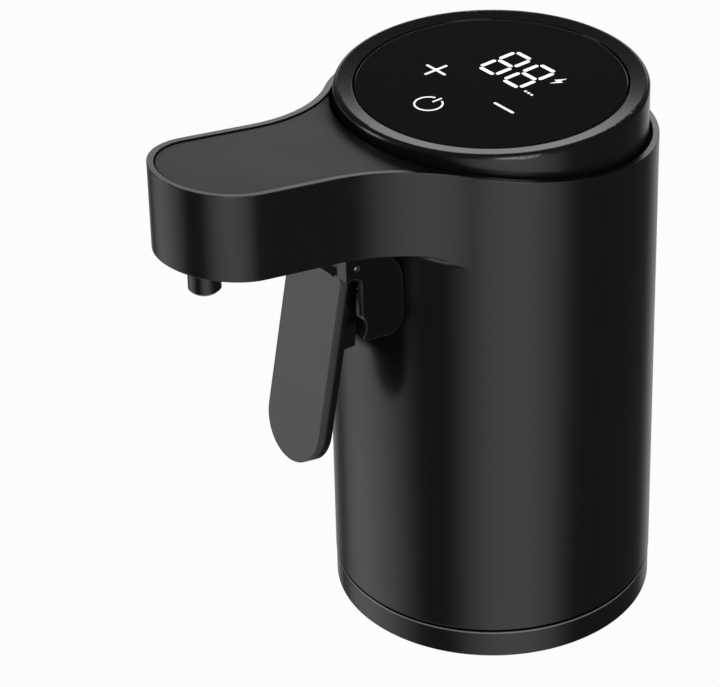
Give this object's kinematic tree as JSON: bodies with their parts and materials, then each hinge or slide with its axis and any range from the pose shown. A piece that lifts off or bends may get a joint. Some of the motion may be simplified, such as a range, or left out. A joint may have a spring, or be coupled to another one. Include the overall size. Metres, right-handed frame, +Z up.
{
  "type": "electric wine pourer",
  "caption": "Electric wine pourer that plugs onto a bottle: round body, slanted spout arm with nozzle, pull trigger, level touch display and pump inside.",
  "frame": {"origin": "on the body axis, at the mouth of the bottle socket in the underside", "axes": "+Z up along the body axis, -Y towards the spout's tip, +X to the right of someone facing the spout"},
  "size_m": [0.036, 0.0602, 0.0659],
  "materials": {
    "housing_black": "satin, fine moulded grain",
    "cover_black": "satin",
    "bezel_black": "satin",
    "display_black": "polished, black behind",
    "trigger_grey": "satin",
    "lever_black": "satin",
    "steel": "bright",
    "silicone": "matte",
    "seal_red": "matte",
    "foam_grey": "matte foam",
    "hose_clear": "soft, milky",
    "board_green": "solder mask",
    "chip_black": "moulded",
    "lamp_white": "smooth",
    "ribbon_amber": "smooth film",
    "cell_sleeve": "shrunk film over the can",
    "frame_grey": "moulded",
    "pump_black": "moulded",
    "valve_white": "moulded",
    "plunger_cream": "moulded"
  },
  "bodies": {
    "pourer": {"main_housing": "housing_black", "arm_cover": "cover_black", "display_bezel": "bezel_black", "display_glass": "display_black", "display_spacer": "foam_grey", "display_board": "board_green", "digit_module": "lamp_white", "touch_pads": "foam_grey", "display_ribbon": "ribbon_amber", "control_board": "board_green", "board_chips": "chip_black", "board_screws": "steel", "charge_port": "steel", "battery_cell": "cell_sleeve", "cell_cradle": "frame_grey", "pump_motor": "steel", "pump_crankcase": "pump_black", "pump_diaphragm": "silicone", "valve_cover": "pump_black", "air_hose": "hose_clear", "check_valve": "valve_white", "inlet_fitting": "valve_white", "port_seals": "seal_red", "wine_hose": "hose_clear", "nozzle": "housing_black", "nozzle_gasket": "seal_red", "trigger_bracket": "housing_black", "pivot_pin": "steel", "return_spring": "steel", "micro_switch": "chip_black", "base_cup": "housing_black", "grip_liner": "silicone", "lip_gasket": "silicone", "base_screws": "steel"},
    "trigger": {"trigger_lever": "lever_black", "trigger_face": "trigger_grey"},
    "plunger": {"switch_plunger": "plunger_cream"},
    "pump_rotor": {"motor_shaft": "steel"}
  },
  "joints": [
    {"name": "trigger_pull", "type": "hinge", "parent": "pourer", "child": "trigger", "pos_m": [0, -0.02289, 0.05128], "axis": [1, 0, 0], "range_deg": [0, 12], "stiffness_Nm_per_rad": 0.0125, "springref_deg": -6.88, "deforming": ["return_spring"]},
    {"name": "plunger_push", "type": "slide", "parent": "pourer", "child": "plunger", "axis": [0, 1, 0], "range_m": [0, 0.0013]},
    {"name": "pump_spin", "type": "hinge", "parent": "pourer", "child": "pump_rotor", "pos_m": [0.00727, 0.0025, 0.031], "axis": [0, 0, 1], "continuous": true}
  ],
  "couplings": [
    {"joint": "plunger_push", "follows": "trigger_pull", "m_per_rad": 0.006}
  ]
}
